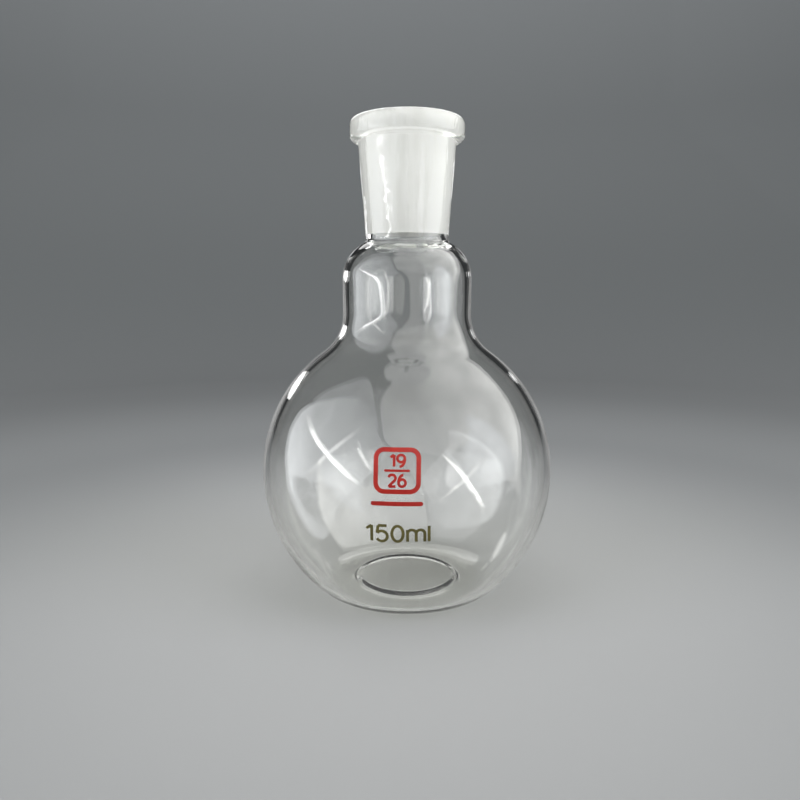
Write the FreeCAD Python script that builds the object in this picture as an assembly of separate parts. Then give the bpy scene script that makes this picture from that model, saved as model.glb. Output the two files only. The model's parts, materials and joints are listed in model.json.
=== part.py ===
import FreeCAD, Part

import math
import os

# Flat bottom flask with a short neck bulb and a ground socket, blown and fused as one piece of
# borosilicate glass. Sizes are in millimetres, +Z is up, and the origin is at the centre of the
# foot, on the surface that the flask stands on.

# Body
body_d = 70.0  # outer diameter at the widest girth
girth_z = 30.3  # height of the widest girth
wall = 1.5  # blown wall of the body and of the neck bulb
flank_r = 38.0  # outer meridian radius below the girth, fuller than the sphere above it
heel_r = 11.0  # outer radius where the flank turns under into the foot

# Foot
base_wall = 1.8
kick_d = 22.4  # flat centre panel, pressed up clear of the table
kick_rise = 0.9
kick_slope = 2.6  # width of the curve from the standing ring up to the panel

# Neck bulb
bulb_d = 30.6
bulb_straight = 8.3  # length of its cylindrical wall
waist_r = 11.0  # outer radius of the hollow curve from the bulb into the body
shoulder_r = 9.0  # outer radius of the bulb's shoulder

# Ground socket, a 1 in 10 taper
mouth_d = 18.8  # bore at the mouth
ground_length = 26.0
taper = 10.0  # length for each unit that the diameter loses
mouth_chamfer = 0.4
tube_wall_low = 1.7  # at the lower end of the ground length
tube_wall_high = 2.25  # just under the collar
clear_length = 1.1  # plain tube between the ground length and the bulb
root_r = 1.2  # outer radius where the tube meets the bulb's shoulder

# Collar round the mouth
collar_height = 5.2
collar_overhang = 1.9  # how far it stands out from the tube
collar_top_r = 1.6
collar_under_r = 1.6
collar_root_r = 0.3


def point(r, z):
    return FreeCAD.Vector(r, 0, z)


def on_circle(centre, radius, angle):
    return point(centre[0] + radius * math.cos(angle), centre[1] + radius * math.sin(angle))


def skin(belly_r, lower_r, turn_r, hollow_r, neck_r, top_r, throat_r, throat_turn_r, floor_z):
    """Arcs of one face of the blown wall, from the foot up to the throat.

    Each arc is (centre, radius, start angle, end angle), and each is tangent to the next.
    """
    lower_centre = (belly_r - lower_r, girth_z)
    reach = lower_r - turn_r
    heel = math.asin((girth_z - floor_z - turn_r) / reach)
    heel_centre = (lower_centre[0] + reach * math.cos(heel), floor_z + turn_r)

    hollow_x = neck_r + hollow_r
    hollow_up = math.sqrt((belly_r + hollow_r) ** 2 - hollow_x**2)
    hollow = math.atan2(hollow_up, hollow_x)
    hollow_centre = (hollow_x, girth_z + hollow_up)

    top_centre = (neck_r - top_r, hollow_centre[1] + bulb_straight)
    across = throat_r + throat_turn_r - top_centre[0]
    up = math.sqrt((top_r + throat_turn_r) ** 2 - across**2)
    throat = math.atan2(up, across)
    throat_centre = (throat_r + throat_turn_r, top_centre[1] + up)

    return [
        (heel_centre, turn_r, -math.pi / 2, -heel),
        (lower_centre, lower_r, -heel, 0),
        ((0, girth_z), belly_r, 0, hollow),
        (hollow_centre, hollow_r, math.pi + hollow, math.pi),
        (top_centre, top_r, 0, throat),
        (throat_centre, throat_turn_r, math.pi + throat, math.pi),
    ]


def kick(floor_z):
    """Arcs of one face of the foot, from the raised centre panel down to the standing ring."""
    radius = (kick_slope**2 + kick_rise**2) / (4 * kick_rise)
    turn = math.asin(kick_slope / (2 * radius))
    panel = (kick_d / 2, floor_z + kick_rise - radius)
    ring = (kick_d / 2 + kick_slope, floor_z + radius)
    return [
        (panel, radius, math.pi / 2, math.pi / 2 - turn),
        (ring, radius, -math.pi / 2 - turn, -math.pi / 2),
    ]


def reverse(arcs):
    """The same arcs, walked the other way."""
    return [(centre, radius, end, start) for centre, radius, start, end in reversed(arcs)]


def corner(r, z):
    """A sharp corner, as an arc of no radius."""
    return ((r, z), 0, 0, 0)


def joined(arcs):
    """One closed wire of the arcs, with a straight edge wherever one ends away from the next."""
    edges = []
    ends = []
    for centre, radius, start, end in arcs:
        first = on_circle(centre, radius, start)
        last = on_circle(centre, radius, end)
        if radius > 0:
            middle = on_circle(centre, radius, (start + end) / 2)
            edges.append(Part.Arc(first, middle, last).toShape())
        ends.append((first, last))
    for (_, last), (first, _) in zip(ends, ends[1:] + ends[:1]):
        if last.distanceToPoint(first) > 1e-6:
            edges.append(Part.LineSegment(last, first).toShape())
    return Part.Wire(Part.sortEdges(edges)[0])


# Blown wall, outer face and inner face
outer_r = body_d / 2
bulb_r = bulb_d / 2
mouth_r = mouth_d / 2
throat_bore_r = mouth_r - ground_length / (2 * taper)
tube_low_r = throat_bore_r + tube_wall_low
outside = skin(
    outer_r, flank_r, heel_r, waist_r, bulb_r, shoulder_r, tube_low_r, root_r, 0
)
inside = skin(
    outer_r - wall,
    flank_r - wall,
    heel_r - wall,
    waist_r + wall,
    bulb_r - wall,
    shoulder_r - wall,
    throat_bore_r,
    root_r + wall,
    base_wall,
)

# Ground socket, from the end of the plain tube up to the mouth
tube_top_of_root = outside[-1][0][1]
ground_z = tube_top_of_root + clear_length
mouth_z = ground_z + ground_length
collar_z = mouth_z - collar_height
collar_bore_r = mouth_r - collar_height / (2 * taper)
tube_high_r = collar_bore_r + tube_wall_high
collar_r = tube_high_r + collar_overhang
lean = math.atan((tube_high_r - tube_low_r) / (collar_z - ground_z))
root_x = tube_high_r - collar_root_r * math.tan(lean) + collar_root_r / math.cos(lean)

socket = [
    corner(tube_low_r, ground_z),
    ((root_x, collar_z - collar_root_r), collar_root_r, math.pi - lean, math.pi / 2),
    ((collar_r - collar_under_r, collar_z + collar_under_r), collar_under_r, -math.pi / 2, 0),
    ((collar_r - collar_top_r, mouth_z - collar_top_r), collar_top_r, 0, math.pi / 2),
    corner(mouth_r + mouth_chamfer, mouth_z),
    corner(mouth_r - mouth_chamfer / (2 * taper), mouth_z - mouth_chamfer),
    corner(throat_bore_r, ground_z),
]

outline = (
    [corner(0, kick_rise)]
    + kick(0)
    + outside
    + socket
    + reverse(inside)
    + reverse(kick(base_wall))
    + [corner(0, base_wall + kick_rise)]
)
section = Part.Face(joined(outline))
flask = section.revolve(point(0, 0), FreeCAD.Vector(0, 0, 1), 360)
if flask.ShapeType != "Solid":
    flask = Part.Solid(flask.Shells[0])

print("valid:", flask.isValid(), "glass volume in mm3:", round(flask.Volume))
print("ground length from", round(ground_z, 2), "up to the mouth at", round(mouth_z, 2))
print("outer box:", flask.BoundBox)

os.makedirs("parts", exist_ok=True)
flask.exportStep("parts/flask.step")
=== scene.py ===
# %% [markdown]
# # A small flat bottom flask in blown glass
# The imported model already holds the true form of the flask, and this lesson gives it its looks.
# The glass is turned again as one finer mesh, because a clear wall shows every facet that a matt
# surface would hide. Then come the finishes, the print, a plain studio and the camera.

# %% Load the frame
import json
import math

import bmesh
import bpy
from mathutils import Matrix, Vector

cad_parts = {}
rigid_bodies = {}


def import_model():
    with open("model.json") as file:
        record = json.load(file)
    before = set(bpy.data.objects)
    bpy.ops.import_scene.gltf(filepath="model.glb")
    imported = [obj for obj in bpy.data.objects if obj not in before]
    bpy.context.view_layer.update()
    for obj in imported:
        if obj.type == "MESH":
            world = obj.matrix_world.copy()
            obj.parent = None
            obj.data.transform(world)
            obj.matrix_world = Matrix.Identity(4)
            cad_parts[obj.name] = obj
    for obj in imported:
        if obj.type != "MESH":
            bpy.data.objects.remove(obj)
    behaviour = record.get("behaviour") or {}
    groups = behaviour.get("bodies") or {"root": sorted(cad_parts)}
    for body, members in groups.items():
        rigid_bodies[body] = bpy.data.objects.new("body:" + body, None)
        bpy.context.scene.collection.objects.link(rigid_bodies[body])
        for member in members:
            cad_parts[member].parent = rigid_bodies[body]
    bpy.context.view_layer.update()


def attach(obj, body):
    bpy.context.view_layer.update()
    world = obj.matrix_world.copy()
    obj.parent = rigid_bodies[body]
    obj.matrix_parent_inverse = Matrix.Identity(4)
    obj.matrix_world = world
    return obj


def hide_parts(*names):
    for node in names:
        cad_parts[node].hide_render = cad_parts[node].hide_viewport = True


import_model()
MM = 0.001  # metres in one millimetre

# %% [markdown]
# ## The sizes
# All the sizes below are in millimetres, as on a glassblower's drawing: the body, the foot that
# is pressed flat, the small bulb in the neck and the ground socket that takes a stopper.

# %% Sizes of the flask
body_d = 70.0
girth_z = 30.3  # height of the widest girth
wall = 1.5
flank_r = 38.0  # outer curve below the girth
heel_r = 11.0  # outer curve from the flank into the foot

base_wall = 1.8
kick_d = 22.4  # flat centre panel of the foot, pressed up clear of the table
kick_rise = 0.9
kick_slope = 2.6  # width of the curve from the standing ring up to the panel

bulb_d = 30.6
bulb_straight = 8.3
waist_r = 11.0  # outer hollow curve from the bulb into the body
shoulder_r = 9.0

mouth_d = 18.8
ground_length = 26.0
taper = 10.0  # length for each unit that the diameter of the socket loses
mouth_chamfer = 0.4
tube_wall_low = 1.7
tube_wall_high = 2.25
clear_length = 1.1  # plain tube between the ground length and the bulb
root_r = 1.2

collar_height = 5.2
collar_overhang = 1.9
collar_top_r = 1.6
collar_under_r = 1.6
collar_root_r = 0.3
fire_polish_r = 0.15  # how far the flame has rounded what the grinder left sharp
print("drawn body:", body_d, "mm, neck bulb:", bulb_d, "mm, mouth:", mouth_d, "mm")

# %% [markdown]
# ## The section
# A blown vessel is round, so half of its section says everything about it. The section is a
# chain of arcs that meet without a corner, on the outside and again on the inside of the wall.
# Each arc is a centre, a radius and two angles. That is how a glassblower's template is drawn,
# and it can be cut into points as fine as the light needs.


# %% Arcs of the blown wall
def blown_skin(belly_r, lower_r, turn_r, hollow_r, neck_r, top_r, throat_r, throat_turn_r, floor_z):
    """Arcs of one face of the wall, from the foot up to the throat."""
    lower_centre = (belly_r - lower_r, girth_z)
    reach = lower_r - turn_r
    heel = math.asin((girth_z - floor_z - turn_r) / reach)
    heel_centre = (lower_centre[0] + reach * math.cos(heel), floor_z + turn_r)

    hollow_x = neck_r + hollow_r
    hollow_up = math.sqrt((belly_r + hollow_r) ** 2 - hollow_x**2)
    hollow = math.atan2(hollow_up, hollow_x)
    hollow_centre = (hollow_x, girth_z + hollow_up)

    top_centre = (neck_r - top_r, hollow_centre[1] + bulb_straight)
    across = throat_r + throat_turn_r - top_centre[0]
    up = math.sqrt((top_r + throat_turn_r) ** 2 - across**2)
    throat = math.atan2(up, across)
    throat_centre = (throat_r + throat_turn_r, top_centre[1] + up)
    return [
        (heel_centre, turn_r, -math.pi / 2, -heel),
        (lower_centre, lower_r, -heel, 0),
        ((0, girth_z), belly_r, 0, hollow),
        (hollow_centre, hollow_r, math.pi + hollow, math.pi),
        (top_centre, top_r, 0, throat),
        (throat_centre, throat_turn_r, math.pi + throat, math.pi),
    ]


def kick(floor_z):
    """Arcs of one face of the foot, from the raised centre panel down to the standing ring."""
    radius = (kick_slope**2 + kick_rise**2) / (4 * kick_rise)
    turn = math.asin(kick_slope / (2 * radius))
    panel = (kick_d / 2, floor_z + kick_rise - radius)
    ring = (kick_d / 2 + kick_slope, floor_z + radius)
    return [
        (panel, radius, math.pi / 2, math.pi / 2 - turn),
        (ring, radius, -math.pi / 2 - turn, -math.pi / 2),
    ]


def reverse(arcs):
    """The same arcs, walked the other way."""
    return [(centre, radius, end, start) for centre, radius, start, end in reversed(arcs)]


def corner(r, z):
    """A point, as an arc of no radius."""
    return ((r, z), 0, 0, 0)


outer_r = body_d / 2
bulb_r = bulb_d / 2
mouth_r = mouth_d / 2
throat_bore_r = mouth_r - ground_length / (2 * taper)
tube_low_r = throat_bore_r + tube_wall_low
outside = blown_skin(
    outer_r, flank_r, heel_r, waist_r, bulb_r, shoulder_r, tube_low_r, root_r, 0
)
inside = blown_skin(
    outer_r - wall,
    flank_r - wall,
    heel_r - wall,
    waist_r + wall,
    bulb_r - wall,
    shoulder_r - wall,
    throat_bore_r,
    root_r + wall,
    base_wall,
)
root_top_z = outside[-1][0][1]
ground_z = root_top_z + clear_length
mouth_z = ground_z + ground_length
print("ground length from", round(ground_z, 2), "to", round(mouth_z, 2), "mm")

# %% Arcs of the socket
collar_z = mouth_z - collar_height
tube_high_r = mouth_r - collar_height / (2 * taper) + tube_wall_high
collar_r = tube_high_r + collar_overhang
lean = math.atan((tube_high_r - tube_low_r) / (collar_z - ground_z))
root_x = tube_high_r - collar_root_r * math.tan(lean) + collar_root_r / math.cos(lean)
collar = [
    corner(tube_low_r, ground_z),
    ((root_x, collar_z - collar_root_r), collar_root_r, math.pi - lean, math.pi / 2),
    ((collar_r - collar_under_r, collar_z + collar_under_r), collar_under_r, -math.pi / 2, 0),
    ((collar_r - collar_top_r, mouth_z - collar_top_r), collar_top_r, 0, math.pi / 2),
]


def eased(before, at, after, radius):
    """The sharp corner at one point, rounded by an arc that touches both of its straight sides."""
    before, at, after = Vector(before), Vector(at), Vector(after)
    back = (before - at).normalized()
    on = (after - at).normalized()
    half = back.angle(on) / 2
    centre = at + (back + on).normalized() * (radius / math.sin(half))
    first = at + back * (radius / math.tan(half)) - centre
    last = at + on * (radius / math.tan(half)) - centre
    start = math.atan2(first.y, first.x)
    turn = first.angle_signed(last)
    return (tuple(centre), radius, start, start - turn)


collar_end = (collar_r - collar_top_r, mouth_z)
chamfer_top = (mouth_r + mouth_chamfer, mouth_z)
chamfer_low = (mouth_r - mouth_chamfer / (2 * taper), mouth_z - mouth_chamfer)
ground_end = (throat_bore_r, ground_z)
mouth = [
    eased(collar_end, chamfer_top, chamfer_low, fire_polish_r),
    eased(chamfer_top, chamfer_low, ground_end, fire_polish_r),
]
print("collar:", round(2 * collar_r, 2), "mm across")

# %% Cut the section into points
largest_turn = math.radians(7.5)  # from one point to the next round a small arc
longest_step = 1.0  # along a large arc
straight_step = 1.5  # along a straight stretch
one_point = fire_polish_r / 20  # points of the section nearer than this are one
same_place = 0.001  # and so are vertices of a mesh nearer than this


def cut(arcs):
    """Points along the arcs and along the straight stretches between them, in millimetres."""
    points = []
    for centre, radius, start, end in arcs:
        turn = abs(end - start)
        pieces = max(1, math.ceil(turn / largest_turn), math.ceil(turn * radius / longest_step))
        for i in range(pieces + 1):
            angle = start + (end - start) * i / pieces
            r = centre[0] + radius * math.cos(angle)
            z = centre[1] + radius * math.sin(angle)
            points.append(Vector((r, z)))
    filled = [points[0]]
    for here in points[1:]:
        last = filled[-1]
        gap = (here - last).length
        if gap < one_point:
            continue
        pieces = math.ceil(gap / straight_step)
        filled += [last.lerp(here, i / pieces) for i in range(1, pieces + 1)]
    return filled


outer_part = cut([corner(0, kick_rise)] + kick(0) + outside + collar + mouth[:1])
ground_part = cut(mouth[1:] + [corner(*ground_end)])
inner_part = cut(reverse(inside) + reverse(kick(base_wall)) + [corner(0, base_wall + kick_rise)])
print("points:", len(outer_part), "outside,", len(ground_part), "ground,", len(inner_part), "inside")

# %% [markdown]
# ## A lathe made of Geometry Nodes
# Spinning the section by hand would take a loop over every point and every step. A Geometry
# Nodes tree says the same thing once: lay out a grid with one row for each point of the section
# and one column for each step round the axis, fetch each row's point, and turn it by its
# column's angle. Merging then closes the seam and the two poles.
#
# Blown walls are never quite even, and that is what bends a reflection in real glass. So the
# tree also moves the inner face in and out by a few hundredths of a millimetre. Just below the
# ground socket, where the tube was welded to the bulb, it moves the face by up to a tenth. The
# outer face stays as it is, because that is the face that has to measure right.


# %% A helper that adds one node
def add(tree, kind, inputs=None, **settings):
    """Add a node, set its properties, and fill its inputs with plain values or with links.

    A node given as the value of an input stands for its first output.
    """
    made = tree.nodes.new(kind)
    for name, value in settings.items():
        setattr(made, name, value)
    for name, value in (inputs or {}).items():
        if isinstance(value, bpy.types.Node):
            value = value.outputs[0]
        if isinstance(value, bpy.types.NodeSocket):
            tree.links.new(value, made.inputs[name])
        else:
            made.inputs[name].default_value = value
    return made


def linked(name, data):
    """A new object in the scene."""
    made = bpy.data.objects.new(name, data)
    bpy.context.scene.collection.objects.link(made)
    return made


def geometry_tree(name, sizes):
    """A geometry tree with a mesh input, one named input for each size, and a mesh output."""
    tree = bpy.data.node_groups.new(name, "GeometryNodeTree")
    tree.interface.new_socket("Mesh", in_out="INPUT", socket_type="NodeSocketGeometry")
    for label, kind in sizes.items():
        tree.interface.new_socket(label, in_out="INPUT", socket_type=kind)
    tree.interface.new_socket("Mesh", in_out="OUTPUT", socket_type="NodeSocketGeometry")
    return tree, add(tree, "NodeGroupInput").outputs


def plain_mesh(source, tree, values, name):
    """Run a tree on an object with the values given by input name, and keep the plain mesh."""
    sockets = {s.name: s.identifier for s in tree.interface.items_tree if s.in_out == "INPUT"}
    modifier = source.modifiers.new("nodes", "NODES")
    modifier.node_group = tree
    for label, value in values.items():
        modifier[sockets[label]] = value
    bpy.context.view_layer.update()
    shaped = source.evaluated_get(bpy.context.evaluated_depsgraph_get())
    mesh = bpy.data.meshes.new_from_object(shaped)
    mesh.name = name
    for slot in reversed(range(len(mesh.materials))):
        if mesh.materials[slot] is None:
            mesh.materials.pop(index=slot)
    source.modifiers.remove(modifier)
    bpy.data.objects.remove(source)
    return linked(name, mesh)


# %% The lathe tree
lathe, given = geometry_tree(
    "turn a section",
    {
        "Steps Around": "NodeSocketInt",
        "Ripple Height": "NodeSocketFloat",
        "Ripple Size": "NodeSocketFloat",
        "Weld Height": "NodeSocketFloat",
        "Weld Size": "NodeSocketFloat",
        "Merge Distance": "NodeSocketFloat",
        "Clear Glass": "NodeSocketMaterial",
        "Ground Glass": "NodeSocketMaterial",
    },
)
rows = add(lathe, "GeometryNodeAttributeDomainSize", {"Geometry": given["Mesh"]}, component="MESH")
columns = add(lathe, "FunctionNodeIntegerMath", {0: given["Steps Around"], 1: 1}, operation="ADD")
grid = add(
    lathe,
    "GeometryNodeMeshGrid",
    {"Vertices X": rows.outputs["Point Count"], "Vertices Y": columns},
)
index = add(lathe, "GeometryNodeInputIndex")
row = add(lathe, "FunctionNodeIntegerMath", {0: index, 1: columns}, operation="DIVIDE_FLOOR")
column = add(lathe, "FunctionNodeIntegerMath", {0: index, 1: columns}, operation="MODULO")
section_place = add(
    lathe,
    "GeometryNodeSampleIndex",
    {"Geometry": given["Mesh"], "Value": add(lathe, "GeometryNodeInputPosition"), "Index": row},
    data_type="FLOAT_VECTOR",
)
share = add(lathe, "ShaderNodeMath", {0: column, 1: given["Steps Around"]}, operation="DIVIDE")
angle = add(lathe, "ShaderNodeMath", {0: share, 1: 2 * math.pi}, operation="MULTIPLY")
turned = add(
    lathe, "ShaderNodeVectorRotate", {"Vector": section_place, "Angle": angle}, rotation_type="Z_AXIS"
)
shape = add(
    lathe, "GeometryNodeSetPosition", {"Geometry": grid.outputs["Mesh"], "Position": turned}
)
for zone in ("ground", "ripple", "weld"):
    along = add(lathe, "GeometryNodeInputNamedAttribute", {"Name": zone})
    fetched = add(
        lathe, "GeometryNodeSampleIndex", {"Geometry": given["Mesh"], "Value": along, "Index": row}
    )
    shape = add(
        lathe,
        "GeometryNodeStoreNamedAttribute",
        {"Geometry": shape, "Name": zone, "Value": fetched},
    )
closed = add(
    lathe, "GeometryNodeMergeByDistance", {"Geometry": shape, "Distance": given["Merge Distance"]}
)

# %% The ripple of the inner wall, and the two finishes
heights = []
for zone, label, roughness in (("ripple", "Ripple", 0.4), ("weld", "Weld", 0.5)):
    scale = add(lathe, "ShaderNodeMath", {0: 1.0, 1: given[label + " Size"]}, operation="DIVIDE")
    swell = add(
        lathe, "ShaderNodeTexNoise", {"Scale": scale, "Detail": 1.0, "Roughness": roughness}
    )
    centred = add(lathe, "ShaderNodeMath", {0: swell, 1: 0.5}, operation="SUBTRACT")
    mark = add(lathe, "GeometryNodeInputNamedAttribute", {"Name": zone})
    masked = add(lathe, "ShaderNodeMath", {0: centred, 1: mark}, operation="MULTIPLY")
    height = add(
        lathe, "ShaderNodeMath", {0: masked, 1: given[label + " Height"]}, operation="MULTIPLY"
    )
    heights.append(height)
both_heights = add(lathe, "ShaderNodeMath", {0: heights[0], 1: heights[1]}, operation="ADD")
push = add(
    lathe,
    "ShaderNodeVectorMath",
    {0: add(lathe, "GeometryNodeInputNormal"), "Scale": both_heights},
    operation="SCALE",
)
rippled = add(lathe, "GeometryNodeSetPosition", {"Geometry": closed, "Offset": push})
smooth = add(lathe, "GeometryNodeSetShadeSmooth", {"Geometry": rippled})
whole = add(lathe, "GeometryNodeRealizeInstances", {"Geometry": smooth})
clear = add(
    lathe, "GeometryNodeSetMaterial", {"Geometry": whole, "Material": given["Clear Glass"]}
)
ground_zone = add(lathe, "GeometryNodeInputNamedAttribute", {"Name": "ground"})
is_ground = add(lathe, "FunctionNodeCompare", {0: ground_zone, 1: 0.5}, operation="GREATER_THAN")
both = add(
    lathe,
    "GeometryNodeSetMaterial",
    {"Geometry": clear, "Selection": is_ground, "Material": given["Ground Glass"]},
)
add(lathe, "NodeGroupOutput", {"Mesh": both})
print("the lathe tree has", len(lathe.nodes), "nodes")

# %% [markdown]
# ## The finishes
# Three things meet the eye. Borosilicate glass, blown and fire polished, is smooth and almost
# without colour, and shows itself by what it reflects and bends. The socket is the same glass,
# ground inside with wet grit until it is matt, which scatters the light and looks white. The
# print is ceramic enamel, screened on and fired until it melts into the surface.
#
# Colours are given as they look on a screen, and one function turns them into the linear values
# that the renderer works in.


# %% Helpers for the finishes
GLASS_TINT = "#DDE6D2"  # what is left of white light after a long way inside the glass
TINT_DENSITY = 12.0


def linear(code):
    """A colour written as an sRGB hex code, in linear values with full opacity."""
    parts = [int(code[i : i + 2], 16) / 255 for i in (1, 3, 5)]
    return (*[p / 12.92 if p <= 0.04045 else ((p + 0.055) / 1.055) ** 2.4 for p in parts], 1.0)


def finish(name):
    """An empty node material."""
    made = bpy.data.materials.new(name)
    made.use_nodes = True
    made.node_tree.nodes.clear()
    return made, made.node_tree


def glass_output(tree, surface, shade):
    """Give a glass its surface and the tint of its body.

    The light of a lamp goes straight through it, dimmed by a shade, as through thin glass.
    """
    path = add(tree, "ShaderNodeLightPath")
    through = add(tree, "ShaderNodeBsdfTransparent", {"Color": linear(shade)})
    seen = add(
        tree, "ShaderNodeMixShader", {0: path.outputs["Is Shadow Ray"], 1: surface, 2: through}
    )
    tint = add(
        tree, "ShaderNodeVolumeAbsorption", {"Color": linear(GLASS_TINT), "Density": TINT_DENSITY}
    )
    add(tree, "ShaderNodeOutputMaterial", {"Surface": seen, "Volume": tint})


# %% [markdown]
# ### Clear glass
# The index of borosilicate glass is 1.474. It is a little green where the light runs a long way
# inside it, as in the collar, so the colour is given to the volume and not to the surface. A
# blown skin has a slow unevenness that makes reflections swim, and here that is a bump of a few
# micrometres on waves about 14 mm long. The tube of the socket was shaped with a tool, which
# leaves finer and steeper lines along its outside.

# %% Borosilicate glass, fire polished
GLASS_IOR = 1.474
skin_wave = 14 * MM
skin_relief = 0.03 * MM  # height of a full wave of the noise
tool_line = 1.2 * MM  # width of the lines on the outside of the socket
tool_relief = 4.5  # their height, as a multiple of the skin's
tool_start = 2.0  # length over which they begin, in millimetres
clear_glass, tree = finish("borosilicate_glass_fire_polished")
place = add(tree, "ShaderNodeTexCoord").outputs["Object"]
wave = add(tree, "ShaderNodeTexNoise", {"Vector": place, "Scale": 1 / skin_wave, "Detail": 1.0})
stretched = add(tree, "ShaderNodeMapping", {"Vector": place, "Scale": (1.0, 1.0, 0.3)})
lines = add(
    tree,
    "ShaderNodeTexNoise",
    {"Vector": stretched, "Scale": 1 / tool_line, "Detail": 2.0, "Distortion": 0.4},
)
height_up = add(tree, "ShaderNodeSeparateXYZ", {0: place}).outputs["Z"]
on_tube = add(
    tree,
    "ShaderNodeMapRange",
    {0: height_up, 1: root_top_z * MM, 2: (ground_z + tool_start) * MM, 3: 0.0, 4: tool_relief},
)
tube_lines = add(tree, "ShaderNodeMath", {0: lines, 1: on_tube}, operation="MULTIPLY")
relief = add(tree, "ShaderNodeMath", {0: wave, 1: tube_lines}, operation="ADD")
skin = add(tree, "ShaderNodeBump", {"Height": relief, "Strength": 1.0, "Distance": skin_relief})
surface = add(
    tree,
    "ShaderNodeBsdfPrincipled",
    {
        "Base Color": linear("#FEFEFD"),
        "Roughness": 0.0,
        "IOR": GLASS_IOR,
        "Transmission Weight": 1.0,
        "Normal": skin,
    },
)
glass_output(tree, surface, "#F7F7F5")
print("clear glass: index", GLASS_IOR, "with waves of", skin_wave / MM, "mm")

# %% [markdown]
# ### Ground glass
# Wet silicon carbide leaves a matt surface of tiny pits. It looks white because light leaves it
# in every direction, so the finish is part rough glass and part plain white. The grit is about
# 0.05 mm, too fine to show, so it is drawn at 0.35 mm. The honing also leaves faint bands along
# the socket, where the wall behind them is a little thicker or thinner.

# %% Borosilicate glass, ground matt
grit = 0.35 * MM
band_width = 2.2 * MM
ground_glass, tree = finish("borosilicate_glass_ground")
place = add(tree, "ShaderNodeTexCoord").outputs["Object"]
pits = add(tree, "ShaderNodeTexNoise", {"Vector": place, "Scale": 1 / grit, "Detail": 2.0})
drawn_out = add(tree, "ShaderNodeMapping", {"Vector": place, "Scale": (1.0, 1.0, 0.07)})
bands = add(
    tree,
    "ShaderNodeTexNoise",
    {"Vector": drawn_out, "Scale": 1 / band_width, "Detail": 3.0, "Roughness": 0.6},
)
band_tone = add(tree, "ShaderNodeMapRange", {0: bands, 1: 0.3, 2: 0.7, 3: 0.0, 4: 1.0})
tone = add(
    tree,
    "ShaderNodeMix",
    {0: band_tone, 6: linear("#EFEFED"), 7: linear("#FDFDFD")},
    data_type="RGBA",
)
matt = add(tree, "ShaderNodeBump", {"Height": pits, "Strength": 0.35, "Distance": 0.05 * MM})
surface = add(
    tree,
    "ShaderNodeBsdfPrincipled",
    {
        "Base Color": tone.outputs[2],
        "Roughness": 0.62,
        "IOR": GLASS_IOR,
        "Transmission Weight": 0.1,
        "Normal": matt,
    },
)
glass_output(tree, surface, "#B4B4B4")
print("ground glass: grit drawn at", grit / MM, "mm")

# %% [markdown]
# ## Turn the flask
# The section becomes a line mesh whose points carry three marks: whether they belong to the
# ground cone, how much the wall ripples there, and how much the weld has moved it. The tree
# reads all three.

# %% The section as a line mesh
ripple_fade = 7.0  # the ripple of the inner wall grows from nothing over this length
weld_length = 8.0  # length of the inner wall, below the plain tube, that the weld has moved


def section_mesh():
    """The whole section, with its marks on the points, as an object in metres."""
    inner_length = sum((b - a).length for a, b in zip(inner_part, inner_part[1:]))
    points = []
    ground = []
    ripple = []
    weld = []
    for part, is_cone in ((outer_part, 0.0), (ground_part, 1.0), (inner_part, 0.0)):
        run = 0.0
        for i, point in enumerate(part):
            if i > 0:
                run += (point - part[i - 1]).length
            if points and (point - points[-1]).length < one_point:
                ground[-1] = max(ground[-1], is_cone)
                continue
            points.append(point)
            ground.append(is_cone)
            edge = min(run, inner_length - run) if part is inner_part else 0.0
            ripple.append(min(1.0, max(0.0, edge) / ripple_fade))
            across_weld = run / weld_length if part is inner_part else 0.0
            weld.append(math.sin(math.pi * across_weld) ** 2 if across_weld < 1.0 else 0.0)
    mesh = bpy.data.meshes.new("section")
    edges = [(i, i + 1) for i in range(len(points) - 1)]
    mesh.from_pydata([(p.x * MM, 0.0, p.y * MM) for p in points], edges, [])
    for name, values in (("ground", ground), ("ripple", ripple), ("weld", weld)):
        mesh.attributes.new(name, "FLOAT", "POINT").data.foreach_set("value", values)
    return linked("section", mesh)


# %% The glass
around = 240
glass = plain_mesh(
    section_mesh(),
    lathe,
    {
        "Steps Around": around,
        "Ripple Height": 0.16 * MM,
        "Ripple Size": 22 * MM,
        "Weld Height": 0.5 * MM,
        "Weld Size": 5 * MM,
        "Merge Distance": same_place * MM,
        "Clear Glass": clear_glass,
        "Ground Glass": ground_glass,
    },
    "flask_glass",
)


def enclosed_volume(mesh):
    """Volume in cubic metres, negative if the faces point inwards, and the count of open edges."""
    solid = bmesh.new()
    solid.from_mesh(mesh)
    volume = solid.calc_volume(signed=True)
    open_edges = sum(1 for edge in solid.edges if len(edge.link_faces) != 2)
    solid.free()
    return volume, open_edges


volume, open_edges = enclosed_volume(glass.data)
if volume < 0:
    glass.data.flip_normals()
print("glass:", len(glass.data.vertices), "vertices,", len(glass.data.polygons), "faces,")
print("volume", round(abs(volume) / MM**3), "cubic mm, open edges", open_edges)
cone_faces = sum(1 for face in glass.data.polygons if face.material_index == 1)
print("finishes:", [m.name for m in glass.data.materials], "with", cone_faces, "ground faces")
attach(glass, "root")
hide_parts("flask")

# %% [markdown]
# ## The print
# The front carries plain fired marks: the size of the ground joint in a red frame, a red rule,
# and the capacity in olive. Enamel is a solid layer a few hundredths of a millimetre thick, sunk
# a little into the glass that it melted with. Each mark is drawn flat, cut fine enough to bend,
# and then wrapped round the wall by a tree that knows the two curves of the body.

# %% Enamels
speckle = 0.12 * MM
cloud = 1.6 * MM


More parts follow.
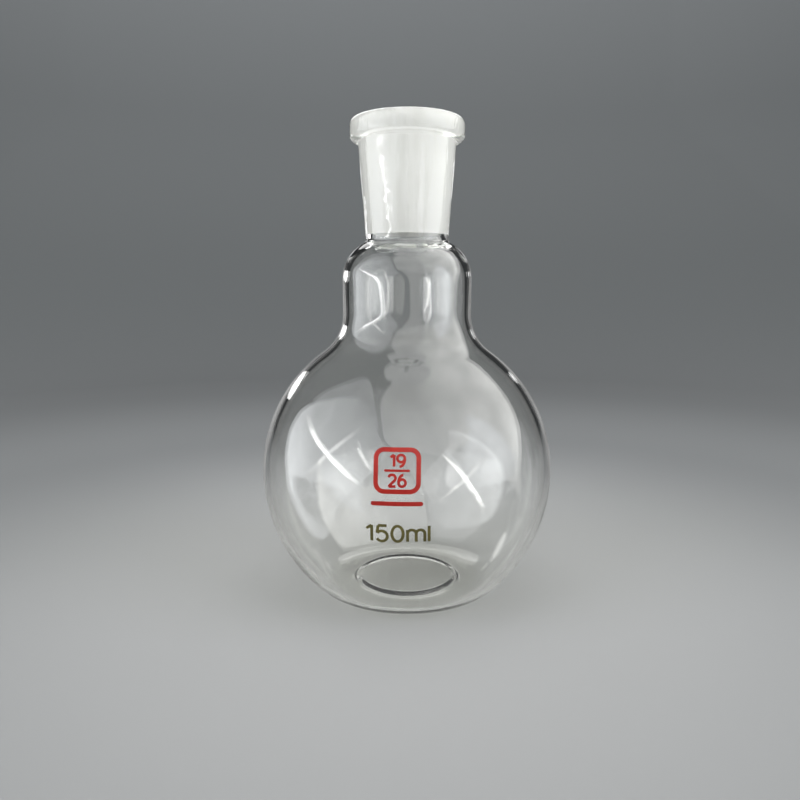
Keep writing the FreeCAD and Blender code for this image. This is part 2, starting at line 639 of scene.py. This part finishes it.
def enamel(name, thin, thick):
    """Fired ceramic enamel: glossy, a little uneven in cover, and finely speckled."""
    made, tree = finish(name)
    place = add(tree, "ShaderNodeTexCoord").outputs["Object"]
    cover = add(
        tree,
        "ShaderNodeTexNoise",
        {"Vector": place, "Scale": 1 / cloud, "Detail": 4.0, "Roughness": 0.7},
    )
    spread = add(tree, "ShaderNodeMapRange", {0: cover, 1: 0.35, 2: 0.65, 3: 0.0, 4: 1.0})
    tone = add(
        tree,
        "ShaderNodeMix",
        {0: spread, 6: linear(thin), 7: linear(thick)},
        data_type="RGBA",
    )
    dots = add(tree, "ShaderNodeTexNoise", {"Vector": place, "Scale": 1 / speckle, "Detail": 1.0})
    grain = add(tree, "ShaderNodeBump", {"Height": dots, "Strength": 0.25, "Distance": 0.02 * MM})
    surface = add(
        tree,
        "ShaderNodeBsdfPrincipled",
        {"Base Color": tone.outputs[2], "Roughness": 0.32, "IOR": 1.52, "Normal": grain},
    )
    add(tree, "ShaderNodeOutputMaterial", {"Surface": surface})
    return made


red_enamel = enamel("fired_enamel_red", "#B42A1E", "#9C1008")
olive_enamel = enamel("fired_enamel_olive", "#6E6630", "#4F4A20")

# %% A tree that wraps a flat mark round the wall
wrap, given = geometry_tree(
    "wrap round the body",
    {
        "Turn": "NodeSocketFloat",
        "Body Radius": "NodeSocketFloat",
        "Flank Radius": "NodeSocketFloat",
        "Girth Height": "NodeSocketFloat",
        "Enamel": "NodeSocketMaterial",
    },
)
flat = add(wrap, "ShaderNodeSeparateXYZ", {0: add(wrap, "GeometryNodeInputPosition")}).outputs
known = {
    "across": flat["X"],
    "up": flat["Y"],
    "lift": flat["Z"],
    "turn": given["Turn"],
    "body": given["Body Radius"],
    "flank": given["Flank Radius"],
    "girth": given["Girth Height"],
}
# Above the girth the curve is the body's, and below it is the flank's.
for name, operation, first, second in (
    ("is_above", "GREATER_THAN", "up", 0.0),
    ("is_below", "SUBTRACT", 1.0, "is_above"),
    ("spare", "SUBTRACT", "flank", "body"),
    ("back", "MULTIPLY", "is_below", "spare"),
    ("curve", "ADD", "body", "back"),
    ("climb", "DIVIDE", "up", "curve"),
    ("level", "COSINE", "climb", 0.0),
    ("steep", "SINE", "climb", 0.0),
    ("curve_out", "MULTIPLY", "curve", "level"),
    ("skin_out", "SUBTRACT", "curve_out", "back"),
    ("lift_out", "MULTIPLY", "lift", "level"),
    ("out", "ADD", "skin_out", "lift_out"),
    ("far_out", "ADD", "curve", "lift"),
    ("rise", "MULTIPLY", "far_out", "steep"),
    ("arc", "DIVIDE", "across", "skin_out"),
    ("heading", "ADD", "turn", "arc"),
    ("sideways", "SINE", "heading", 0.0),
    ("forwards", "COSINE", "heading", 0.0),
    ("x", "MULTIPLY", "out", "sideways"),
    ("depth", "MULTIPLY", "out", "forwards"),
    ("y", "MULTIPLY", "depth", -1.0),
    ("z", "ADD", "girth", "rise"),
):
    inputs = {0: known.get(first, first), 1: known.get(second, second)}
    known[name] = add(wrap, "ShaderNodeMath", inputs, operation=operation)
wrapped_place = add(
    wrap, "ShaderNodeCombineXYZ", {"X": known["x"], "Y": known["y"], "Z": known["z"]}
)
wrapped = add(
    wrap, "GeometryNodeSetPosition", {"Geometry": given["Mesh"], "Position": wrapped_place}
)
realised = add(wrap, "GeometryNodeRealizeInstances", {"Geometry": wrapped})
fired = add(wrap, "GeometryNodeSetMaterial", {"Geometry": realised, "Material": given["Enamel"]})
add(wrap, "NodeGroupOutput", {"Mesh": fired})

# %% Flat marks
print_thickness = 0.04
print_sink = 0.034  # how deep the enamel lies in the glass
print_turn = math.radians(-3.8)
finest_print = 0.8  # longest edge of a mark, so that it bends with the wall
round_end = 0.49  # radius of a bar's ends, as a share of its height


def bow(x, y, across, up, start, end, steps=18):
    """Points along part of an ellipse, between two angles in degrees."""
    turns = [math.radians(start + (end - start) * i / steps) for i in range(steps + 1)]
    return [(x + across * math.cos(turn), y + up * math.sin(turn)) for turn in turns]


STROKES = {  # the middle line of each stroke, on a height of 1
    "0": [bow(0.30, 0.50, 0.29, 0.50, 0, 360)],
    "1": [[(0.06, 0.78), (0.34, 1.0)], [(0.34, 1.0), (0.34, 0.0)]],
    "2": [bow(0.29, 0.71, 0.28, 0.29, 165, -40) + [(0.02, 0.0)], [(0.02, 0.0), (0.58, 0.0)]],
    "5": [
        [(0.56, 1.0), (0.12, 1.0)],
        [(0.12, 1.0), (0.06, 0.52)],
        bow(0.30, 0.33, 0.29, 0.33, 145, -150),
    ],
    "6": [bow(0.30, 0.31, 0.28, 0.31, 0, 360), bow(0.42, 0.38, 0.40, 0.62, 188, 92)],
    "9": [bow(0.30, 0.69, 0.28, 0.31, 0, 360), bow(0.18, 0.62, 0.40, 0.62, 8, -88)],
    "l": [[(0.0, 0.0), (0.0, 1.0)]],
    "m": [
        [(0.0, 0.0), (0.0, 0.76)],
        bow(0.22, 0.52, 0.22, 0.24, 170, 0) + [(0.44, 0.0)],
        bow(0.66, 0.52, 0.22, 0.24, 170, 0) + [(0.88, 0.0)],
    ],
}
between_signs = 0.22


def flat_mesh(name, points, faces):
    """Points in millimetres on one plane, as a mesh in metres."""
    mesh = bpy.data.meshes.new(name)
    mesh.from_pydata([(x * MM, y * MM, 0.0) for x, y in points], [], faces)
    return mesh


def written(words, height, width, line, centre_height):
    """Figures and letters drawn with strokes of one width, in millimetres."""
    placed = []
    reach = 0.0
    for sign in words:
        placed += [[(reach + x, y) for x, y in stroke] for stroke in STROKES[sign]]
        reach = max(x for stroke in placed for x, _ in stroke) + between_signs
    reach -= between_signs
    corners = []
    faces = []
    for stroke in placed:
        middle = [
            Vector(((x / reach - 0.5) * (width - line), (y - 0.5) * (height - line) + centre_height))
            for x, y in stroke
        ]
        ring = (middle[0] - middle[-1]).length < same_place
        first = len(corners)
        for i, point in enumerate(middle):
            before = middle[i - 1] if i > 0 else middle[-2 if ring else 0]
            after = middle[i + 1] if i + 1 < len(middle) else middle[1 if ring else -1]
            along = (after - before).normalized()
            side = Vector((-along.y, along.x)) * (line / 2)
            corners += [point + side, point - side]
        for i in range(len(middle) - 1):
            a = first + 2 * i
            faces.append((a, a + 1, a + 3, a + 2))
    return flat_mesh(words, corners, faces)


def rounded_corners(width, height, radius, centre_height, steps=8):
    """Corner points of a rounded rectangle, anticlockwise, in millimetres."""
    points = []
    for quarter, (side, end) in enumerate(((1, 1), (-1, 1), (-1, -1), (1, -1))):
        centre = (side * (width / 2 - radius), centre_height + end * (height / 2 - radius))
        for i in range(steps + 1):
            angle = math.pi / 2 * (quarter + i / steps)
            points.append((centre[0] + radius * math.cos(angle), centre[1] + radius * math.sin(angle)))
    return points


def frame_mark(width, height, line, radius, centre_height):
    """A flat rounded frame of one line's width."""
    outer = rounded_corners(width, height, radius, centre_height)
    inner = rounded_corners(width - 2 * line, height - 2 * line, radius - line, centre_height)
    count = len(outer)
    faces = [(i, (i + 1) % count, count + (i + 1) % count, count + i) for i in range(count)]
    return flat_mesh("frame", outer + inner, faces)


def bar_mark(width, height, centre_height):
    """A flat bar with round ends."""
    points = rounded_corners(width, height, height * round_end, centre_height)
    return flat_mesh("bar", points, [tuple(range(len(points)))])


def cut_long_edges(sheet, longest, rounds=8):
    """Cut the faces of a flat sheet in rounds, until no edge is too long."""
    for _ in range(rounds):
        long_edges = [edge for edge in sheet.edges if edge.calc_length() > longest]
        if not long_edges:
            return
        bmesh.ops.subdivide_edges(sheet, edges=long_edges, cuts=1)
        bmesh.ops.triangulate(sheet, faces=sheet.faces)


def fired_mark(name, flats, finish_used):
    """Flat marks made into one thin closed layer, bent round the wall and fired."""
    sheet = bmesh.new()
    for mesh in flats:
        sheet.from_mesh(mesh)
        bpy.data.meshes.remove(mesh)
    bmesh.ops.remove_doubles(sheet, verts=sheet.verts, dist=same_place * MM)
    bmesh.ops.triangulate(sheet, faces=sheet.faces)
    cut_long_edges(sheet, finest_print * MM)
    for face in sheet.faces:
        if face.normal.z < 0:
            face.normal_flip()
    raised = bmesh.ops.extrude_face_region(sheet, geom=sheet.faces[:])
    on_top = {part for part in raised["geom"] if isinstance(part, bmesh.types.BMVert)}
    for vertex in sheet.verts:
        lift = print_thickness - print_sink if vertex in on_top else -print_sink
        vertex.co.z = lift * MM
    bmesh.ops.recalc_face_normals(sheet, faces=sheet.faces)
    mesh = bpy.data.meshes.new(name + "_flat")
    sheet.to_mesh(mesh)
    sheet.free()
    made = plain_mesh(
        linked(name + "_flat", mesh),
        wrap,
        {
            "Turn": print_turn,
            "Body Radius": outer_r * MM,
            "Flank Radius": flank_r * MM,
            "Girth Height": girth_z * MM,
            "Enamel": finish_used,
        },
        name,
    )
    volume, open_edges = enclosed_volume(made.data)
    print(name, len(made.data.polygons), "faces, volume", round(volume / MM**3, 3), "open", open_edges)
    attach(made, "root")
    return made


# %% The marks on the front
frame_height = 7.9  # along the wall, from the girth up to the middle of the frame
upper_height = frame_height + 2.0
lower_height = frame_height - 2.0
fired_mark(
    "joint_size_print",
    [
        frame_mark(width=9.6, height=9.4, line=0.95, radius=2.2, centre_height=frame_height),
        written("19", height=2.9, width=3.6, line=0.55, centre_height=upper_height),
        bar_mark(width=5.2, height=0.5, centre_height=frame_height),
        written("26", height=2.9, width=4.0, line=0.55, centre_height=lower_height),
        bar_mark(width=10.6, height=0.9, centre_height=1.2),
    ],
    red_enamel,
)
fired_mark(
    "capacity_print",
    [written("150ml", height=4.1, width=13.7, line=0.62, centre_height=-5.2)],
    olive_enamel,
)

# %% [markdown]
# ## The studio
# Glass is seen by what surrounds it, so the studio is part of its finish. The floor is a pale
# round table that sweeps up into a grey wall, the same from every side. The paper's colour is
# painted palest under the flask, a painted pool of light, and greyer further out. Three lamps
# light the paper, the ground socket and the print. The cards that clear glass mirrors come after
# them, and where there is no card the glass shows the paper as a dim glow, a painted reflection
# of a dark room in place of the wall.

# %% The floor and the wall
floor_reach = 0.42  # the stage is in metres
sweep = 0.26
wall_height = 1.4
# Above this height, the glass shows the wall as the painted reflection of a dark room.
edge_of_table = 0.03  # height over which the mirrored wall turns into the dark room
# Colour of the paper at each distance from the foot, painted palest near the foot as a pool of light.
paper_tones_with_painted_pool = {0.04: "#B4B5B5", 0.19: "#8C8E8F", 0.36: "#7A7C7D", 0.62: "#6D7071", 0.9: "#8B8E90"}
paper, tree = finish("studio_paper")
place = add(tree, "ShaderNodeTexCoord").outputs["Object"]
up = add(tree, "ShaderNodeSeparateXYZ", {0: place}).outputs["Z"]
away_from_flask = add(tree, "ShaderNodeVectorMath", {0: place}, operation="LENGTH").outputs["Value"]
# Painted pool of light: the paper's colour is lightest close to the foot of the flask.
tone = add(tree, "ShaderNodeValToRGB", {0: away_from_flask})
tone.color_ramp.interpolation = "EASE"
stops = tone.color_ramp.elements
stops.remove(stops[1])
for i, (distance, code) in enumerate(paper_tones_with_painted_pool.items()):
    stop = stops.new(distance) if i > 0 else stops[0]
    stop.position = distance
    stop.color = linear(code)
fibre = add(tree, "ShaderNodeTexNoise", {"Vector": place, "Scale": 1 / (1.2 * MM), "Detail": 2.0})
nap = add(tree, "ShaderNodeBump", {"Height": fibre, "Strength": 0.1, "Distance": 0.05 * MM})
surface = add(
    tree,
    "ShaderNodeBsdfPrincipled",
    {"Base Color": tone, "Roughness": 0.9, "Specular IOR Level": 0.0, "Normal": nap},
)
# Mirrored in the glass, the paper above the table shows a dim glow instead of its lit colour: a
# painted reflection of a dark room.
in_glass = add(tree, "ShaderNodeLightPath").outputs["Glossy Depth"]
above_table = add(tree, "ShaderNodeMapRange", {0: up, 1: 0.0, 2: edge_of_table, 3: 0.0, 4: 1.0})
mirrored = add(tree, "ShaderNodeMath", {0: in_glass, 1: 0.5}, operation="GREATER_THAN")
painted_reflection_zone = add(tree, "ShaderNodeMath", {0: mirrored, 1: above_table}, operation="MULTIPLY")
painted_dark_room_glow = add(tree, "ShaderNodeEmission", {"Color": linear("#C4C8CC"), "Strength": 0.06})
seen = add(tree, "ShaderNodeMixShader", {0: painted_reflection_zone, 1: surface, 2: painted_dark_room_glow})
add(tree, "ShaderNodeOutputMaterial", {"Surface": seen})


def turned_stage(name, line, material=paper):
    """A part of the stage, turned even from a line of radii and heights in metres."""
    mesh = bpy.data.meshes.new(name)
    edges = [(i, i + 1) for i in range(len(line) - 1)]
    mesh.from_pydata([(r, 0.0, z) for r, z in line], edges, [])
    made = plain_mesh(
        linked(name, mesh),
        lathe,
        {
            "Steps Around": 96,
            "Merge Distance": same_place * MM,
            "Clear Glass": material,
            "Ground Glass": material,
        },
        name,
    )
    return made


sweep_steps = 24
floor_level = -0.02 * MM
curve_up = []
for i in range(sweep_steps + 1):
    bend = math.pi / 2 * i / sweep_steps
    curve_up.append(
        (floor_reach + sweep * math.sin(bend), floor_level + sweep * (1 - math.cos(bend)))
    )
table = turned_stage("studio_floor", [(0.0, floor_level), curve_up[0]])
backdrop = turned_stage("studio_wall", curve_up + [(floor_reach + sweep, wall_height)])
backdrop.visible_shadow = False  # the lamps stand outside it
print("stage:", len(table.data.polygons), "and", len(backdrop.data.polygons), "faces")

# %% The lights
lit_point = Vector((0.0, 0.0, 0.045))  # the lamps face the middle of the flask


def direction(azimuth, elevation):
    """A direction given in degrees. Azimuth 0 is on the camera's side, and left is negative."""
    heading = math.radians(azimuth)
    tilt = math.radians(elevation)
    level = math.cos(tilt)
    return Vector((math.sin(heading) * level, -math.cos(heading) * level, math.sin(tilt)))


def lamp(name, azimuth, elevation, distance, side, radiance):
    """A soft square light that reaches matt surfaces and isn't mirrored in the glass."""
    away = direction(azimuth, elevation)
    data = bpy.data.lights.new(name, "AREA")
    data.shape = "RECTANGLE"
    data.size = side
    data.size_y = side
    data.energy = radiance * math.pi * side * side
    light = linked(name, data)
    facing = away.to_track_quat("Z", "Y").to_matrix().to_4x4()
    light.matrix_world = Matrix.Translation(lit_point + away * distance) @ facing
    light.visible_camera = False
    light.visible_glossy = False
    light.visible_transmission = False
    print(name, "gives", round(data.energy, 2), "watts")


lamp("ceiling", azimuth=0, elevation=88, distance=0.95, side=0.86, radiance=1.3)
lamp("left_key", azimuth=-60, elevation=30, distance=1.6, side=1.0, radiance=5.5)
lamp("right_key", azimuth=65, elevation=30, distance=1.6, side=1.0, radiance=5.9)

# %% [markdown]
# ### Cards for the glass
# What a glass shows is a picture of the cards round it. Each card here is a curved sheet, given
# by the directions of its corners as seen from the flask: azimuth 0 is on the camera's side, and
# left is negative. A smooth curve through the corners makes its edge. Below the level of the
# flask a card lies down on the table.
#
# A card shines only on light that some glass has mirrored on the way. Looked at straight through
# the flask it isn't there, as when a photographer takes it out of the picture's background.


# %% What a card is made of
cloud_on_card = 0.14  # size of the slow unevenness in a card's light, in metres
cloud_depth = 0.2  # and its depth, as a share of the light


def card_light(name, radiance, tint, one_side=False):
    """A light that mirrored rays see, from one side alone if asked, and all others pass through."""
    made, tree = finish(name)
    path = add(tree, "ShaderNodeLightPath")
    mirrored = add(
        tree, "ShaderNodeMath", {0: path.outputs["Glossy Depth"], 1: 0.5}, operation="GREATER_THAN"
    )
    place = add(tree, "ShaderNodeTexCoord").outputs["Object"]
    cloud = add(
        tree, "ShaderNodeTexNoise", {"Vector": place, "Scale": 1 / cloud_on_card, "Detail": 2.0}
    )
    dimmest = (1 - cloud_depth) * radiance
    brightest = (1 + cloud_depth) * radiance
    uneven = add(tree, "ShaderNodeMapRange", {0: cloud, 1: 0.3, 2: 0.7, 3: dimmest, 4: brightest})
    shine = add(tree, "ShaderNodeAttribute", attribute_name="shine").outputs["Fac"]
    strength = add(tree, "ShaderNodeMath", {0: uneven, 1: shine}, operation="MULTIPLY")
    glow = add(tree, "ShaderNodeEmission", {"Color": linear(tint), "Strength": strength})
    nothing = add(tree, "ShaderNodeBsdfTransparent")
    if one_side:
        turned_away = add(tree, "ShaderNodeNewGeometry").outputs["Backfacing"]
        mirrored = add(tree, "ShaderNodeMath", {0: mirrored, 1: turned_away}, operation="SUBTRACT")
    seen = add(tree, "ShaderNodeMixShader", {0: mirrored, 1: nothing, 2: glow})
    add(tree, "ShaderNodeOutputMaterial", {"Surface": seen})
    return made


# %% A card
card_reach = 0.36  # from the middle of the body, in metres
card_centre = Vector((0.0, 0.0, girth_z * MM))
card_grain = 3.0  # longest edge of a card's faces, in degrees
over_table = 1.0 * MM  # how far above the table a card lies
in_front = 0.01  # how far the tubes and small cards stand in front of the large ones, in metres


def only_mirrored(stage_part):
    """Hide a part of the stage from the camera and from matt surfaces, and let it throw no shadow."""
    stage_part.visible_camera = False
    stage_part.visible_diffuse = False
    stage_part.visible_shadow = False


def card(
    name, corners, radiance, tint="#FFFFFF", peak=(0, 0), spread=90.0, edge_share=1.0, nearer=0.0
):
    """A curved card whose smooth edge follows corners given as azimuth and elevation in degrees.

    It is brightest at its peak, and fades to a share of that over a spread in degrees. Nearer is
    how far in metres it stands in front of the other cards.
    """
    curve = bpy.data.curves.new(name, "CURVE")
    curve.dimensions = "2D"
    curve.fill_mode = "BOTH"
    curve.resolution_u = 6
    spline = curve.splines.new("NURBS")
    spline.points.add(len(corners) - 1)
    for point, (azimuth, elevation) in zip(spline.points, corners):
        point.co = (azimuth, elevation, 0.0, 1.0)
    spline.order_u = 3
    spline.use_cyclic_u = True
    holder = linked(name, curve)
    bpy.context.view_layer.update()
    drawn = holder.evaluated_get(bpy.context.evaluated_depsgraph_get())
    flat_card = bpy.data.meshes.new_from_object(drawn)
    bpy.data.objects.remove(holder)
    sheet = bmesh.new()
    sheet.from_mesh(flat_card)
    bpy.data.meshes.remove(flat_card)
    cut_long_edges(sheet, card_grain)
    shine = []
    for vertex in sheet.verts:
        azimuth, elevation = vertex.co.x, vertex.co.y
        far = min(1.0, math.hypot(azimuth - peak[0], elevation - peak[1]) / spread)
        shine.append(1.0 - (1.0 - edge_share) * far * far * (3.0 - 2.0 * far))
        away = direction(azimuth, elevation)
        reach = card_reach - nearer
        if away.z < 0:
            reach = min(reach, (card_centre.z - over_table) / -away.z)
        vertex.co = card_centre + away * reach
    mesh = bpy.data.meshes.new(name)
    sheet.to_mesh(mesh)
    sheet.free()
    mesh.attributes.new("shine", "FLOAT", "POINT").data.foreach_set("value", shine)
    mesh.materials.append(card_light(name, radiance, tint))
    made = linked(name, mesh)
    only_mirrored(made)
    print(name, len(mesh.polygons), "faces")


def streak(name, line, width, radiance):
    """A thin bent tube in front of a card, through three directions, brightest in its middle."""
    line = [Vector(place) for place in line]
    along = line[-1] - line[0]
    across = Vector((-along.y, along.x)).normalized() * (width / 2)
    corners = [tuple(p + across) for p in line] + [tuple(p - across) for p in reversed(line)]
    half = along.length / 2
    card(name, corners, radiance, peak=line[1], spread=half, edge_share=0.2, nearer=in_front)


# %% [markdown]
# ### What each card is for
# The left and the right card make the two pale fields on the front of the body. The high card
# makes the greyer field between and above them, the left upper card the dim lobe over the left
# field, and the middle card leaves a dark lens in the neck bulb. The front of the room is a faint
# veil behind them all. The cards behind the flask light its rim, and the sparks and glints are
# the short bright marks on its shoulders.

# %% The large cards
card(
    "left_card",
    [(-107, 5), (-111, 14), (-111, 23), (-104, 32), (-91, 43), (-75, 53), (-59, 56), (-44, 53),
     (-32, 43), (-24, 34), (-15, 24), (-21, 13), (-32, 2), (-45, -11), (-48, -20), (-50, -29),
     (-62, -28), (-75, -21), (-90, -13), (-103, -4)],
    radiance=3.3,
    tint="#F4F7FA",
    peak=(-95, 5),
    spread=90,
    edge_share=0.42,
)
card(
    "right_card",
    [(34, 20), (43, 21), (51, 26), (55, 35), (59, 44), (66, 39), (75, 32), (82, 20), (87, 10),
     (90, 1), (82, -8), (66, -17), (50, -25), (35, -29), (24, -26), (14, -22), (17, -11), (24, 4),
     (28, 15)],
    radiance=5.2,
    tint="#F6F8FA",
    peak=(70, 23),
    spread=48,
    edge_share=0.15,
    nearer=0.004,
)
card(
    "high_card",
    [(-40, 64), (-40, 88), (150, 88), (140, 46), (124, 39), (115, 30), (108, 19), (100, 11),
     (94, 3), (89, -7), (84, -15), (80, -6), (74, 8), (62, 15), (46, 15), (33, 17), (19, 22),
     (2, 26), (-18, 28), (-24, 44)],
    radiance=3.9,
    tint="#F4F4F2",
    peak=(85, 25),
    spread=100,
    edge_share=0.5,
)
card(
    "left_upper_card",
    [(-108, 29), (-104, 44), (-98, 54), (-96, 66), (-75, 68), (-52, 63), (-36, 53), (-25, 39),
     (-32, 36), (-60, 44), (-88, 36)],
    radiance=1.3,
    tint="#F4F7FA",
    nearer=-0.004,
)
card(
    "middle_card",
    [(-11, 26), (4, 9), (10, -10), (31, -12), (31, 2), (32, 14), (20, 28), (0, 30)],
    radiance=1.6,
    tint="#F4F4F2",
    nearer=-0.004,
)
card(
    "front_of_room",
    [(-96, -28), (-98, 45), (-60, 72), (60, 72), (106, 50), (112, 8), (104, -28)],
    radiance=0.45,
    tint="#F2F4F6",
    peak=(0, 20),
    spread=200,
    nearer=-0.02,
)
overhead = [(-205, 76), (205, 76), (205, 89.5), (-205, 89.5)]
back = [(158, 31), (180, 27), (210, 30), (212, 50), (204, 58), (180, 64), (160, 54)]
left_rim = [(-178, -14), (-178, 14), (-158, 12), (-149, 5), (-140, -8), (-132, -22), (-150, -30)]
right_rim = [(178, 14), (178, -14), (150, -30), (132, -22), (140, -8), (149, 5), (158, 12)]
card("overhead_card", overhead, radiance=1.7, nearer=in_front)
card("back_card", back, radiance=2.6)
card("left_rim", left_rim, radiance=0.4)
card("right_rim", right_rim, radiance=0.35)

# %% The small cards and the tubes
for name, radiance, corners in (
    ("left_spark", 3.0, [(-138, 11), (-141, 15), (-149, 14), (-155, 11), (-154, 8), (-145, 8)]),
    ("right_spark", 2.6, [(148, 9), (149, 12), (152, 13), (152, 10)]),
    ("left_glint", 1.6, [(-160, 15), (-160, 20), (-170, 21), (-170, 17)]),
    ("right_glint", 1.6, [(158, 15), (158, 20), (168, 21), (168, 17)]),
):
    card(name, corners, radiance, nearer=in_front)
streak("left_tube_down", [(-99, 26), (-62, 15), (-35, 0)], width=2.3, radiance=26)
streak("left_tube_up", [(-39, 41), (-61, 17), (-81, -7)], width=2.0, radiance=8)
streak("right_tube_down", [(29, 25), (46, -4), (52, -15)], width=2.2, radiance=20)
card(
    "right_crescent",
    [(28, -2), (27, 6), (30, 15), (37, 22), (47, 28), (43, 19), (41, 10), (42, 2), (38, -5)],
    radiance=3.8,
    peak=(30, 8),
    spread=16,
    edge_share=0.4,
    nearer=in_front,
)

# %% [markdown]
# ### Under the collar
# The collar is clear on its outside, and its lower edge mirrors what lies below it. A ring of
# card round the neck draws the bright line there. It shines upwards only, so that the bulb
# below it doesn't mirror it.

# %% A ring of card under the collar
ring_line = [(0.017, 0.094), (0.045, 0.080)]  # radius and height of its two edges
ring_light = card_light("collar_card", radiance=8.0, tint="#F6F6F2", one_side=True)
ring = turned_stage("collar_card", ring_line, ring_light)
full_shine = ring.data.attributes.new("shine", "FLOAT", "POINT")
full_shine.data.foreach_set("value", [1.0] * len(ring.data.vertices))
only_mirrored(ring)
print("ring under the collar:", len(ring.data.polygons), "faces")

# %% The air
world = bpy.data.worlds.new("studio_air")
world.use_nodes = True
air = world.node_tree.nodes["Background"]
air.inputs["Color"].default_value = linear("#C4C8CC")
air.inputs["Strength"].default_value = 0.05
bpy.context.scene.world = world

# %% [markdown]
# ## The camera
# The photograph was taken close, with a wide lens a little above the flask. Its place is worked
# out from the outline of the flask: the sphere, the collar and the rings in the foot.

# %% The camera
camera_place = Vector((-1.67, -174.0, 75.1))  # in millimetres, as are the sensor and the lens
camera_dip = 9.18  # degrees that it looks down
camera_data = bpy.data.cameras.new("camera")
camera_data.sensor_width = 36.0
camera_data.lens = 32.4
camera_data.clip_start = 0.005
camera = linked("camera", camera_data)
camera.location = camera_place * MM
camera.rotation_euler = (math.radians(90 - camera_dip), 0.0, 0.0)
bpy.context.scene.camera = camera
bpy.context.scene.view_settings.view_transform = "Standard"
bpy.context.scene.cycles.max_bounces = 24
bpy.context.scene.cycles.transmission_bounces = 24
print("camera:", round(camera_place.length), "mm from the foot of the flask")
